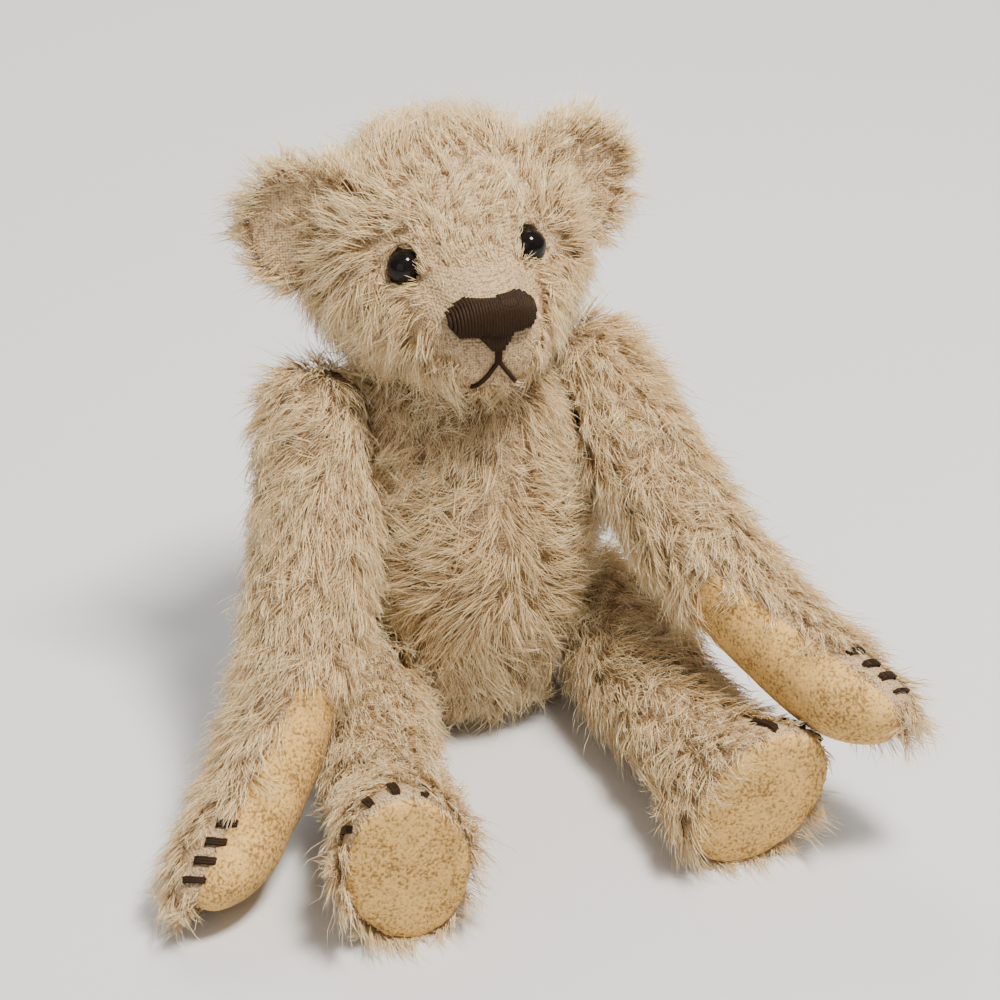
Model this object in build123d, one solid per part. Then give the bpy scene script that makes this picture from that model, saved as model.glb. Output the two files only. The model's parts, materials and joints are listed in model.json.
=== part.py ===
from build123d import *
import math
import os
from dataclasses import dataclass

# A jointed mohair teddy bear, seated, facing -Y, with its left side at +X.
# The origin is the middle of the flat patch of the torso that it sits on.

# Cloth and clearances
CLOTH = 1.0  # mohair or suede with its seam allowance
EASE = 0.1  # between the stuffing and the cloth around it
JOINT_GAP = 0.4  # between the two cloth faces of a joint
EMBROIDERY = 0.9  # how far a nose or claw stitch stands proud
THREAD = 0.6  # how far a single thread stands proud

# Torso: stacked ellipses, as (height, half width, half depth, middle y)
TORSO_RINGS = (
    (0.0, 11.0, 10.0, -1.0),
    (1.6, 14.0, 13.0, -1.0),
    (6.0, 16.8, 16.6, -1.2),
    (14.0, 19.4, 20.0, -1.4),
    (25.0, 22.0, 22.6, -1.6),
    (37.0, 23.8, 23.4, -1.4),
    (48.0, 23.4, 21.9, -0.8),
    (58.0, 22.2, 18.8, 0.0),
    (66.0, 18.6, 15.6, 1.0),
    (70.6, 14.4, 13.0, 2.0),
    (72.4, 12.2, 11.6, 2.4),
)
CLOSING_STITCHES = 9  # along the back seam
CLOSING_LOW = 22.0
CLOSING_PITCH = 3.6

# Head: ellipses from the back to the nose, as (y, half width, half height, middle height)
HEAD_RINGS = (
    (25.0, 4.5, 4.5, 92.0),
    (23.6, 9.6, 9.2, 92.0),
    (19.5, 16.6, 15.2, 91.6),
    (12.0, 22.2, 20.2, 91.2),
    (3.0, 24.2, 21.8, 90.5),
    (-6.0, 20.8, 18.9, 88.7),
    (-12.0, 16.0, 14.6, 87.2),
    (-17.0, 12.3, 11.6, 85.9),
    (-22.0, 10.2, 10.1, 85.0),
    (-25.8, 8.4, 8.4, 84.8),
    (-27.6, 5.8, 5.8, 84.8),
    (-28.4, 2.8, 2.8, 84.8),
)
GUSSET_OUTLINE = ((4.5, -30.0), (7.6, -22.0), (13.8, -3.0), (13.0, 9.0), (4.0, 27.0))
GUSSET_LOW = 88.0
HEAD_ROLL = 3.0  # the head leans to its right
HEAD_TURN = -3.5
HEAD_PIVOT = (0.0, 2.4, 72.2)

EYE_RADIUS = 3.2
EYE_X, EYE_Y, EYE_Z = 11.3, -11.4, 95.2
EYE_WIRE = 0.35
NOSE_WIDTH, NOSE_HEIGHT, NOSE_Z = 15.4, 5.6, 91.0
NOSE_STEM = 3.0  # the point of the nose below its bar
NOSE_STEM_WIDTHS = (3.4, 0.9)  # half its width at the bar and at its foot
NOSE_ROUND = 2.4
MOUTH_Z, MOUTH_SPREAD, MOUTH_DROP = 82.4, 4.4, 4.0
MOUTH_THREAD = 0.9
EAR_RADIUS, EAR_BASE = 11.5, 9.0
EAR_LAYER = 1.2
EAR_AT = (22.6, 3.5, 98.3)
EAR_LEAN = 22.0  # of the ear's middle line above level
EAR_TURN = 12.0  # the open face turns outward

# Limbs: ellipses along the limb, as (reach, toe shift, half thickness, half width)
LIMB_INSET = 6.8  # from the joint face to the middle of the limb
ARM_RINGS = (
    (-8.9, 0.0, 2.6, 2.8),
    (-7.4, 0.0, 5.6, 6.0),
    (-4.2, 0.0, 8.2, 8.6),
    (2.0, 0.0, 9.2, 9.8),
    (17.0, 0.0, 9.1, 10.2),
    (35.0, -0.6, 8.8, 10.0),
    (51.0, -1.0, 8.4, 9.5),
    (65.0, -0.6, 8.3, 9.2),
    (77.5, 0.8, 8.3, 9.0),
    (85.5, 2.0, 7.4, 8.0),
    (89.6, 2.8, 5.4, 5.8),
    (91.4, 3.1, 2.6, 2.8),
)
ARM_BOW = 2.0  # the middle of an arm lies this far inside its own chord
PAW_START = 51.0  # where the suede begins along the arm
INNER_END = 56.0  # the inner panel ends here, under the suede
PAW_MIDDLE = 76.0  # where its edges reach the widest line of the paw
PAW_TILT = 19.0  # the suede faces inward and this much towards the tip
LEFT_PAW_TURN = 10.0  # and this much to the front
RIGHT_PAW_TURN = 36.0

LEG_REACH = 71.0
LEG_RINGS = (
    (-9.6, 0.0, 2.8, 2.8),
    (-8.2, 0.0, 6.0, 6.0),
    (-4.8, 0.0, 8.6, 8.7),
    (2.0, 0.0, 9.5, 9.8),
    (15.0, 0.0, 9.6, 10.2),
    (30.0, 0.0, 9.3, 9.9),
    (43.0, 0.0, 8.9, 9.2),
    (52.0, 0.3, 8.9, 9.4),
    (60.0, 1.5, 9.7, 11.6),
    (65.5, 2.4, 10.7, 13.8),
    (69.2, 2.7, 11.1, 14.9),
    (LEG_REACH, 2.7, 10.6, 14.4),
)
SOLE_DEPTH = 1.6  # the suede sole wraps this far up the foot
ANKLE = 46.0  # the twist of a leg is complete here

# Joints: where the face of each one is, and how its axis leans from level
SHOULDER_FACE = (20.6, 0.0, 59.6)
SHOULDER_TILT = 22.0
HIP_FACE = (17.2, -4.0, 15.8)
HIP_TILT = -9.0
NECK_FACE = (0.0, 2.4, 72.2)

# How each limb is set in the seated pose: from hanging towards the front, how far its end
# stands outward, and the twist of its end
LEFT_ARM_SET, LEFT_ARM_SPLAY = 61.5, 9.5
RIGHT_ARM_SET, RIGHT_ARM_SPLAY = 40.5, 17.5
LEFT_LEG_SET, LEFT_LEG_SPLAY, LEFT_FOOT_TWIST = 87.7, 4.6, 34.0
RIGHT_LEG_SET, RIGHT_LEG_SPLAY, RIGHT_FOOT_TWIST = 89.2, 11.0, 4.0
SEAM_TURN = 9.0  # the front seam of the torso wanders this far to the bear's left

# Joint hardware
ARM_DISC, LEG_DISC, NECK_DISC = 5.0, 5.6, 8.0  # radii
DISC_THICK = 1.6
WASHER_RADIUS, WASHER_THICK = 3.0, 0.6
PIN_RADIUS = 0.8
PIN_CLEARANCE = 0.05
PIN_CURL = 1.3  # radius of each curled leg
STACK_GAP = 0.05
FAR = 120.0


@dataclass(frozen=True)
class Joint:
    """A disc joint: its name, the middle of its face, its outward axis and its disc radius."""

    name: str
    face: Vector
    axis: Vector
    disc: float
    rim: float  # the flat part of the joint face
    drop: float  # how far the cloth may bulge back past the rim

    def plane(self, out=0.0):
        """The joint face, shifted out along the axis."""
        return Plane(origin=self.face + self.axis * out, z_dir=self.axis)


def joint_on(side, name, face, tilt, disc, rim, drop):
    """A side joint: side is 1 for the bear's left and -1 for its right."""
    lean = math.radians(tilt)
    axis = Vector(side * math.cos(lean), 0, math.sin(lean))
    return Joint(name, Vector(side * face[0], face[1], face[2]), axis, disc, rim, drop)


NECK = Joint("neck", Vector(*NECK_FACE), Vector(0, 0, 1), NECK_DISC, 40.0, 0.0)
SHOULDERS = {
    side: joint_on(side, name, SHOULDER_FACE, SHOULDER_TILT, ARM_DISC, 9.0, 2.6)
    for side, name in ((1, "left_shoulder"), (-1, "right_shoulder"))
}
HIPS = {
    side: joint_on(side, name, HIP_FACE, HIP_TILT, LEG_DISC, 40.0, 0.0)
    for side, name in ((1, "left_hip"), (-1, "right_hip"))
}
JOINTS = (NECK, *SHOULDERS.values(), *HIPS.values())


def inner_side(joint, out):
    """Everything on the torso's side of a joint, up to a face shifted out by this much."""
    slope = joint.drop / 7.0
    outline = [
        (0, out),
        (joint.rim, out),
        (joint.rim + 7.0, out - joint.drop),
        (FAR, out - joint.drop - slope * 20.0),
        (FAR, -FAR),
        (0, -FAR),
    ]
    profile = Plane.XZ * make_face(Polyline(*outline, close=True))
    return Plane(origin=joint.face, z_dir=joint.axis) * revolve(profile, Axis.Z)


def biggest(shape):
    """The largest solid of a shape, as one solid."""
    return max(shape.solids(), key=lambda solid: solid.volume)


# Torso


def torso_body(shrink=0.0):
    """The stuffed torso before its joints are flattened, smaller by shrink all round."""
    low = TORSO_RINGS[0][0]
    high = TORSO_RINGS[-1][0]
    middle = (low + high) / 2
    scale = 1 - shrink / (high - middle)
    rings = [
        Plane.XY.offset(middle + (height - middle) * scale)
        * Pos(0, y, 0)
        * Ellipse(half_width - shrink, half_depth - shrink)
        for height, half_width, half_depth, y in TORSO_RINGS
    ]
    return loft(rings)


def torso_solid(shrink=0.0):
    """The torso with a flat face at each joint."""
    solid = torso_body(shrink)
    for joint in JOINTS:
        solid = solid & inner_side(joint, -JOINT_GAP / 2 - shrink)
    return biggest(solid)


def closing_stitches(skin):
    """The ladder of short stitches that closes the back seam."""
    grown = torso_body(-THREAD)
    stitches = []
    for number in range(CLOSING_STITCHES):
        height = CLOSING_LOW + number * CLOSING_PITCH
        bar = Rot(0, 0, SEAM_TURN) * Pos(0, 20, height) * Rot(0, 18, 0) * Box(3.2, 20, 0.7)
        stitches.append(biggest((grown & bar) - skin))
    return Compound(children=stitches)


# Limbs


def limb_plane(joint, side, angle):
    """The limb's own frame: x outward, -z along the limb, and the toes towards -y on the left side."""
    turn = math.radians(angle)
    down = Vector(joint.axis.Z * side, 0, -abs(joint.axis.X))
    front = Vector(0, -1, 0)
    along = down * math.cos(turn) + front * math.sin(turn)
    return Plane(origin=joint.face + joint.axis * LIMB_INSET, x_dir=joint.axis, z_dir=along * -1)


@dataclass(frozen=True)
class Bend:
    """How a limb leaves the straight line of its rings."""

    splay: float  # how far its end stands outward
    power: float  # 1 is a straight lean, more bends late
    bow: float = 0.0
    twist: float = 0.0

    def outward(self, share):
        """The outward shift at a share of the reach."""
        share = max(share, 0)
        return self.splay * share**self.power - 4 * self.bow * share * (1 - share)


def limb_body(rings, bend, shrink=0.0):
    """A stuffed limb in its own frame, as on the bear's left side."""
    near = rings[0][0]
    far = rings[-1][0]
    middle = (near + far) / 2
    scale = 1 - shrink / (far - middle)
    sections = []
    for reach, toe, half_thick, half_wide in rings:
        outward = bend.outward(reach / far)
        turn = math.radians(bend.twist * min(max(reach / ANKLE, 0), 1))
        place = Plane(
            origin=(
                outward + toe * math.sin(turn),
                -toe * math.cos(turn),
                -(middle + (reach - middle) * scale),
            ),
            x_dir=(math.cos(turn), math.sin(turn), 0),
            z_dir=(0, 0, 1),
        )
        sections.append(place * Ellipse(half_thick - shrink, half_wide - shrink))
    return loft(sections)


def handed(shape, side):
    """A limb piece made for the left side, or its mirror image for the right."""
    return shape if side > 0 else shape.mirror(Plane.XZ)


def limb_solid(joint, side, place, rings, bend, shrink=0.0):
    """A stuffed limb in the bear's frame, flattened against its joint."""
    solid = place * handed(limb_body(rings, bend, shrink), side)
    return biggest(solid - inner_side(joint, JOINT_GAP / 2 + shrink))


def pad_block(side, place, start, turn, tilt, middle):
    """The half space that a suede paw covers, in the bear's frame."""
    around = math.radians(turn)
    towards_tip = math.radians(tilt)
    facing = Vector(
        -math.cos(around) * math.cos(towards_tip),
        -math.sin(around) * math.cos(towards_tip),
        -math.sin(towards_tip),
    )
    half = Plane(origin=middle, z_dir=facing) * Box(
        FAR, FAR, FAR, align=(Align.CENTER, Align.CENTER, Align.MIN)
    )
    beyond = Pos(0, 0, -start) * Box(FAR, FAR, FAR, align=(Align.CENTER, Align.CENTER, Align.MAX))
    return place * handed(biggest(half & beyond), side)


def claw_strokes(side, place, bars):
    """Straight bars that mark where each claw stitch lies."""
    return [place * handed(bar, side) for bar in bars]


def paw_claw_bars(bend):
    """Four short strokes over the outer front edge of the paw, near its tip."""
    bars = []
    for number in range(4):
        reach = 77.0 + number * 3.4
        outward = bend.outward(reach / ARM_RINGS[-1][0])
        stroke = Rot(0, 0, 38) * Pos(0, -9.0, -reach) * Box(5.0, 7.0, 0.9)
        bars.append(Pos(outward, 0, 0) * stroke)
    return bars


def foot_claw_bars(bend):
    """Four strokes that run back from the sole over the toes."""
    middle = bend.splay
    bars = []
    for number in range(4):
        across = -7.2 + number * 4.8
        bars.append(Pos(middle + across, -13.0, -LEG_REACH + 5.4) * Box(1.0, 16.0, 6.4))
    spin = Pos(middle, 0, 0) * Rot(0, 0, bend.twist) * Pos(-middle, 0, 0)
    return [spin * bar for bar in bars]


def stitched(grown, skin, bars):
    """The raised stitches where bars cross the skin."""
    pieces = [biggest((grown & bar) - skin) for bar in bars]
    return Compound(children=pieces)


def arm_nodes(side, name, angle, splay, turn):
    """The cloth, suede, stuffing and claws of one arm."""
    joint = SHOULDERS[side]
    place = limb_plane(joint, side, angle)
    bend = Bend(splay, 3.0, ARM_BOW)
    skin = limb_solid(joint, side, place, ARM_RINGS, bend)
    shell = skin - limb_solid(joint, side, place, ARM_RINGS, bend, CLOTH)
    stuffing = limb_solid(joint, side, place, ARM_RINGS, bend, CLOTH + EASE)
    paw = pad_block(side, place, PAW_START, turn, PAW_TILT, (splay / 2, 0.0, -PAW_MIDDLE))
    upper = Pos(0, 0, -INNER_END) * Box(
        FAR, FAR, FAR, align=(Align.MAX, Align.CENTER, Align.MIN)
    )
    inner = place * handed(upper, side)
    cloth = shell - pin_hole(joint)
    grown = place * handed(limb_body(ARM_RINGS, bend, -EMBROIDERY), side)
    bars = claw_strokes(side, place, paw_claw_bars(bend))
    return {
        f"{name}_outer_panel": biggest((cloth - paw) - inner),
        f"{name}_inner_panel": biggest((cloth - paw) & inner),
        f"{name}_paw_pad": biggest(cloth & paw),
        f"{name}_stuffing": biggest(stuffing - hardware_room(joint, 1)),
        f"{name}_claws": stitched(grown, skin, bars),
    }


def leg_nodes(side, name, angle, splay, twist):
    """The cloth, suede sole, stuffing and claws of one leg."""
    joint = HIPS[side]
    place = limb_plane(joint, side, angle)
    bend = Bend(splay, 1.0, twist=twist)
    skin = limb_solid(joint, side, place, LEG_RINGS, bend)
    shell = skin - limb_solid(joint, side, place, LEG_RINGS, bend, CLOTH)
    stuffing = limb_solid(joint, side, place, LEG_RINGS, bend, CLOTH + EASE)
    beyond = Pos(0, 0, -(LEG_REACH - SOLE_DEPTH)) * Box(
        FAR, FAR, FAR, align=(Align.CENTER, Align.CENTER, Align.MAX)
    )
    sole = place * handed(beyond, side)
    inward = Pos(splay / 2, 0, 0) * Box(
        FAR, FAR, 3 * FAR, align=(Align.MAX, Align.CENTER, Align.CENTER)
    )
    inner = place * handed(inward, side)
    cloth = shell - pin_hole(joint)
    grown = place * handed(limb_body(LEG_RINGS, bend, -EMBROIDERY), side)
    bars = claw_strokes(side, place, foot_claw_bars(bend))
    return {
        f"{name}_outer_panel": biggest((cloth - sole) - inner),
        f"{name}_inner_panel": biggest((cloth - sole) & inner),
        f"{name}_foot_pad": biggest(cloth & sole),
        f"{name}_stuffing": biggest(stuffing - hardware_room(joint, 1)),
        f"{name}_claws": stitched(grown, skin, bars),
    }


# Joint hardware


def pin_hole(joint):
    """The hole that a cotter pin passes through, on its axis."""
    return joint.plane() * Cylinder(PIN_RADIUS + PIN_CLEARANCE, 2 * (CLOTH + 1.0))


def hardware_room(joint, way):
    """The space in the stuffing for the discs and pin: way is 1 in the limb and -1 in the torso."""
    depth = CLOTH + DISC_THICK + WASHER_THICK + 2 * PIN_CURL + 2.4
    room = Cylinder(joint.disc + 0.3, depth, align=(Align.CENTER, Align.CENTER, Align.MIN))
    return Plane(origin=joint.face, z_dir=joint.axis * way) * room


def disc_start():
    """Where a disc begins, measured from the joint face."""
    return JOINT_GAP / 2 + CLOTH + STACK_GAP


def washer_start():
    """Where a washer begins, measured from the joint face."""
    return disc_start() + DISC_THICK + STACK_GAP


def ring_plate(joint, way, start, radius, thick):
    """A round plate with the pin's hole, on one side of a joint."""
    plate = Cylinder(radius, thick, align=(Align.CENTER, Align.CENTER, Align.MIN))
    plate = plate - Cylinder(PIN_RADIUS + PIN_CLEARANCE, 4 * thick)
    return Plane(origin=joint.face, z_dir=joint.axis * way) * Pos(0, 0, start) * biggest(plate)


def cotter_pin(joint):
    """A split pin: an eye in the limb, a round shank, and two legs curled over the torso's washer."""
    seat = washer_start() + WASHER_THICK + STACK_GAP
    shank = Cylinder(PIN_RADIUS, 2 * seat)
    eye = Pos(0, 0, seat + PIN_CURL + 0.7) * Rot(90, 0, 0) * Torus(PIN_CURL, 0.6)
    pin = shank + eye + Pos(0, 0, seat) * Cylinder(PIN_RADIUS, 1.4)
    for turn in (0, 180):
        arc = Plane.XZ * Pos(PIN_CURL, -seat - 0.45, 0) * CenterArc((0, 0), PIN_CURL, 180, 210)
        start = Plane(origin=arc @ 0, z_dir=arc % 0)
        leg = sweep(start * Circle(0.4), path=arc)
        pin = pin + Rot(0, 0, turn) * leg
    return joint.plane() * biggest(pin)


def hardware_nodes(joint):
    """The discs, the limb's washer and the pin of one joint."""
    return {
        f"{joint.name}_torso_disc": ring_plate(joint, -1, disc_start(), joint.disc, DISC_THICK),
        f"{joint.name}_limb_disc": ring_plate(joint, 1, disc_start(), joint.disc, DISC_THICK),
        f"{joint.name}_limb_washer": ring_plate(
            joint, 1, washer_start(), WASHER_RADIUS, WASHER_THICK
        ),
        f"{joint.name}_cotter_pin": cotter_pin(joint),
    }


def torso_washers():
    """The five steel washers inside the torso, one at each joint."""
    plates = [
        ring_plate(joint, -1, washer_start(), WASHER_RADIUS, WASHER_THICK) for joint in JOINTS
    ]
    return Compound(children=plates)


# Head


def head_pose(shape):
    """Turns and leans the head as it sits on the neck, about the middle of the neck face."""
    x, y, z = HEAD_PIVOT
    return Pos(x, y, z) * Rot(0, -HEAD_ROLL, HEAD_TURN) * Pos(-x, -y, -z) * shape


def head_body(shrink=0.0):
    """The stuffed head before its neck is flattened."""
    back = HEAD_RINGS[0][0]
    front = HEAD_RINGS[-1][0]
    middle = (back + front) / 2
    scale = 1 - shrink / (back - middle)
    rings = []
    for y, half_width, half_height, height in HEAD_RINGS:
        place = Plane(
            origin=(0, middle + (y - middle) * scale, height), x_dir=(1, 0, 0), z_dir=(0, -1, 0)
        )
        rings.append(place * Ellipse(half_width - shrink, half_height - shrink))
    return loft(rings)


def head_solid(shrink=0.0):
    """The head in its pose, flat at the neck."""
    posed = head_pose(head_body(shrink))
    return biggest(posed - inner_side(NECK, JOINT_GAP / 2 + shrink))


def gusset_block():
    """The strip between the two seams that run from the nose to the back of the head."""
    right = [(-x, y) for x, y in reversed(GUSSET_OUTLINE)]
    face = make_face(Polyline(*GUSSET_OUTLINE, *right, close=True))
    return head_pose(Pos(0, 0, GUSSET_LOW) * extrude(face, 40))


def eye_at(side):
    """The middle of one eye, in the bear's frame."""
    return head_pose(Pos(side * EYE_X, EYE_Y, EYE_Z) * Sphere(0.5)).center()


def eye_bead(side):
    """One glass eye."""
    return Pos(*eye_at(side)) * Rot(70, 0, 0) * Sphere(EYE_RADIUS)


def eye_wire(side):
    """The wire shank moulded into the back of an eye, with its loop."""
    shank = Pos(0, EYE_RADIUS + 1.0, 0) * Rot(90, 0, 0) * Cylinder(EYE_WIRE, 2.4)
    loop = Pos(0, EYE_RADIUS + 3.2, 0) * Rot(0, 90, 0) * Torus(1.1, EYE_WIRE)
    return Pos(*eye_at(side)) * biggest(shank + loop)


def nose_block():
    """The outline of the embroidered nose, as a bar with a pointed stem below it."""
    low = NOSE_Z - NOSE_HEIGHT / 2
    wide, narrow = NOSE_STEM_WIDTHS
    foot = low - NOSE_STEM
    stem = [(wide, low + 0.4), (narrow, foot), (-narrow, foot), (-wide, low + 0.4)]
    bar = Pos(0, NOSE_Z) * RectangleRounded(NOSE_WIDTH, NOSE_HEIGHT, NOSE_ROUND)
    face = bar + make_face(Polyline(*stem, close=True))
    return head_pose(Plane.XZ * extrude(face, 40))


def mouth_block():
    """The outline of the mouth thread: a short stem and two legs."""
    top = NOSE_Z - NOSE_HEIGHT / 2 - NOSE_STEM - 0.1
    low = MOUTH_Z - MOUTH_THREAD / 2
    stroke = Pos(0, (top + low) / 2) * Rectangle(MOUTH_THREAD, top - low)
    for way in (1, -1):
        length = math.hypot(MOUTH_SPREAD, MOUTH_DROP)
        lean = math.degrees(math.atan2(MOUTH_DROP, MOUTH_SPREAD))
        middle = Pos(way * MOUTH_SPREAD / 2, MOUTH_Z - MOUTH_DROP / 2)
        stroke = stroke + middle * Rot(0, 0, -way * lean) * Rectangle(length, MOUTH_THREAD)
    return head_pose(Plane.XZ * extrude(stroke, 40))


def ear_layer(side, front):
    """One cloth layer of an ear: the front one faces the bear's front."""
    shape = Pos(EAR_RADIUS * 0.12, 0) * Ellipse(EAR_RADIUS, EAR_RADIUS)
    keep = Rectangle(2 * EAR_RADIUS, 4 * EAR_RADIUS, align=(Align.MIN, Align.CENTER))
    outline = (shape & (Pos(-EAR_BASE * 0.7, 0) * keep)).face()
    way = -1 if front else 1
    slab = Rot(90, 0, 0) * extrude(outline, -way * EAR_LAYER)
    x, y, z = EAR_AT
    return head_pose(Pos(side * x, y, z) * mirror_side(Rot(0, -EAR_LEAN, EAR_TURN) * slab, side))


def mirror_side(shape, side):
    """A head piece made for the left side, or its mirror image for the right."""
    return shape if side > 0 else shape.mirror(Plane.YZ)


def head_nodes():
    """Every piece of the head but its joint hardware."""
    skin = head_solid()
    grown = head_pose(head_body(-EMBROIDERY))
    threads = head_pose(head_body(-THREAD))
    eyes = {side: eye_bead(side) for side in (1, -1)}
    wires = {side: eye_wire(side) for side in (1, -1)}
    shell = skin - head_solid(CLOTH) - pin_hole(NECK)
    stuffing = head_solid(CLOTH + EASE) - hardware_room(NECK, 1)
    for side in (1, -1):
        shell = shell - eyes[side] - wires[side]
        stuffing = stuffing - eyes[side] - wires[side]
        wires[side] = biggest(wires[side] - eyes[side])
    gusset = gusset_block()
    left = head_pose(Box(FAR, 2 * FAR, 3 * FAR, align=(Align.MIN, Align.CENTER, Align.CENTER)))
    sides = shell - gusset
    nodes = {
        "head_gusset": biggest(shell & gusset),
        "head_side_left": biggest(sides & left),
        "head_side_right": biggest(sides - left),
        "head_stuffing": biggest(stuffing),
        "nose_stitching": biggest((grown & nose_block()) - skin),
        "mouth_stitching": biggest((threads & mouth_block()) - skin),
    }
    for side, name in ((1, "left"), (-1, "right")):
        nodes[f"eye_{name}"] = eyes[side]
        nodes[f"eye_wire_{name}"] = wires[side]
        nodes[f"ear_{name}_front"] = biggest(ear_layer(side, True) - skin)
        nodes[f"ear_{name}_back"] = biggest(ear_layer(side, False) - skin)
    return nodes


def torso_nodes():
    """The cloth, stuffing, stitches and washers of the torso."""
    skin = torso_solid()
    shell = skin - torso_solid(CLOTH)
    stuffing = torso_solid(CLOTH + EASE)
    for joint in JOINTS:
        shell = shell - pin_hole(joint)
        stuffing = stuffing - hardware_room(joint, -1)
    left = Rot(0, 0, SEAM_TURN) * Box(
        FAR, 2 * FAR, 3 * FAR, align=(Align.MIN, Align.CENTER, Align.CENTER)
    )
    return {
        "torso_panel_left": biggest(shell & left),
        "torso_panel_right": biggest(shell - left),
        "torso_stuffing": biggest(stuffing),
        "torso_closing_stitches": closing_stitches(skin),
        "torso_washers": torso_washers(),
    }


def all_nodes():
    """Every piece of the bear, by the name of its node."""
    nodes = torso_nodes()
    nodes.update(head_nodes())
    nodes.update(arm_nodes(1, "left_arm", LEFT_ARM_SET, LEFT_ARM_SPLAY, LEFT_PAW_TURN))
    nodes.update(
        arm_nodes(-1, "right_arm", RIGHT_ARM_SET, RIGHT_ARM_SPLAY, RIGHT_PAW_TURN)
    )
    nodes.update(leg_nodes(1, "left_leg", LEFT_LEG_SET, LEFT_LEG_SPLAY, LEFT_FOOT_TWIST))
    nodes.update(leg_nodes(-1, "right_leg", RIGHT_LEG_SET, RIGHT_LEG_SPLAY, RIGHT_FOOT_TWIST))
    for joint in JOINTS:
        nodes.update(hardware_nodes(joint))
    return nodes


def main():
    """Writes each node to its own file."""
    os.makedirs("parts", exist_ok=True)
    for name, shape in all_nodes().items():
        export_step(shape, f"parts/{name}.step")


if __name__ == "__main__":
    main()
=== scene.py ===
"""A jointed mohair teddy bear: its looks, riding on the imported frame."""

import json
import logging
import math
from dataclasses import dataclass
from enum import Enum

import bmesh
import bpy
import numpy as np
from mathutils import Matrix, Vector, noise
from mathutils.bvhtree import BVHTree


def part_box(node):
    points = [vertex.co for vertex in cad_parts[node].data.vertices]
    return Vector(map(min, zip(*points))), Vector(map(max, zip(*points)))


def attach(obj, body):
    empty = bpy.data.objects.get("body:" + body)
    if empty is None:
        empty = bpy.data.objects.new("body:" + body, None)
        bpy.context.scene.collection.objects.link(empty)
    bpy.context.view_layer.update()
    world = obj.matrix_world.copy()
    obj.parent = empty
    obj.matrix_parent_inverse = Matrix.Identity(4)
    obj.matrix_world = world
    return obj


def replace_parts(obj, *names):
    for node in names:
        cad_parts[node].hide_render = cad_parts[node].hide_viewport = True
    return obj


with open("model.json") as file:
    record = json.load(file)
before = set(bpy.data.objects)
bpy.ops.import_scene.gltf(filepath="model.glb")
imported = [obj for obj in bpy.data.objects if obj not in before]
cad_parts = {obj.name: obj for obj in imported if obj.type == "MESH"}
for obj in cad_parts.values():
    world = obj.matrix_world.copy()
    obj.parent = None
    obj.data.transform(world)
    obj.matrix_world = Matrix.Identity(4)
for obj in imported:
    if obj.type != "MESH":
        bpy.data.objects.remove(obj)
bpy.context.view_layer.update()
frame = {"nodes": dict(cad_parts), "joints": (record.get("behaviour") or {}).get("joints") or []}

logging.basicConfig(level=logging.INFO, format="%(message)s")
log = logging.getLogger("bear")

MM = 0.001
SEED = 11
SIDES = ("left", "right")
Colour = tuple[float, float, float]


# Finishes


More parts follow.
